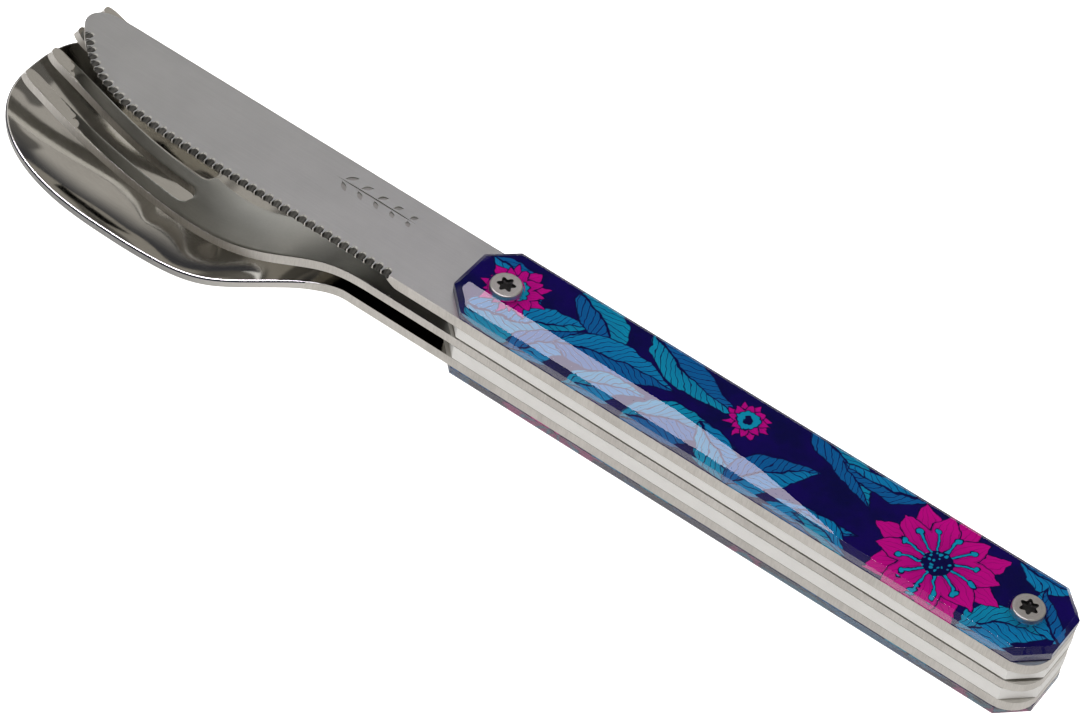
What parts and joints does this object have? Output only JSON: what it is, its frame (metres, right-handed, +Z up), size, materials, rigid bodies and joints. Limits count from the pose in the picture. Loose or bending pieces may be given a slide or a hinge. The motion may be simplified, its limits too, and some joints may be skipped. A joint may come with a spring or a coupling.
{
  "type": "picnic cutlery set",
  "caption": "Flat stacking knife, fork and spoon whose slim handles lie on each other and are held together by magnets; clear bevelled handle scales.",
  "frame": {"origin": "centre of the set's footprint, at the height of the lowest point of the spoon's bowl", "axes": "+X along the handles towards their butt ends, +Z up through the stack from the spoon to the knife"},
  "size_m": [0.2014, 0.0402, 0.0252],
  "materials": {
    "polished_steel": "mirror-polished stainless sheet",
    "satin_steel": "satin stainless sheet with a fine lengthwise grain",
    "screw_steel": "satin, turned rim",
    "white_plastic": "off-white moulded plastic",
    "clear_scale": "clear polished acrylic with bevelled edges",
    "printed_film": "printed leaf and flower pattern on a navy ground",
    "insert_brass": "machined",
    "magnet_nickel": "nickel plated"
  },
  "bodies": {
    "spoon_tool": {"spoon": "polished_steel", "spoon_spacer": "white_plastic", "spoon_film": "printed_film", "spoon_scale": "clear_scale", "spoon_magnet_front": "magnet_nickel", "spoon_magnet_rear": "magnet_nickel", "spoon_insert_front": "insert_brass", "spoon_insert_rear": "insert_brass", "spoon_screw_front": "screw_steel", "spoon_screw_rear": "screw_steel"},
    "fork_tool": {"fork": "polished_steel"},
    "knife_tool": {"knife": "satin_steel", "knife_spacer": "white_plastic", "knife_film": "printed_film", "knife_scale": "clear_scale", "knife_magnet_front": "magnet_nickel", "knife_magnet_rear": "magnet_nickel", "knife_insert_front": "insert_brass", "knife_insert_rear": "insert_brass", "knife_screw_front": "screw_steel", "knife_screw_rear": "screw_steel"}
  },
  "joints": [
    {"name": "fork_lift", "type": "slide", "parent": "spoon_tool", "child": "fork_tool", "axis": [0, 0, 1], "range_m": [0, 0.04]},
    {"name": "knife_lift", "type": "slide", "parent": "fork_tool", "child": "knife_tool", "axis": [0, 0, 1], "range_m": [0, 0.04]}
  ]
}
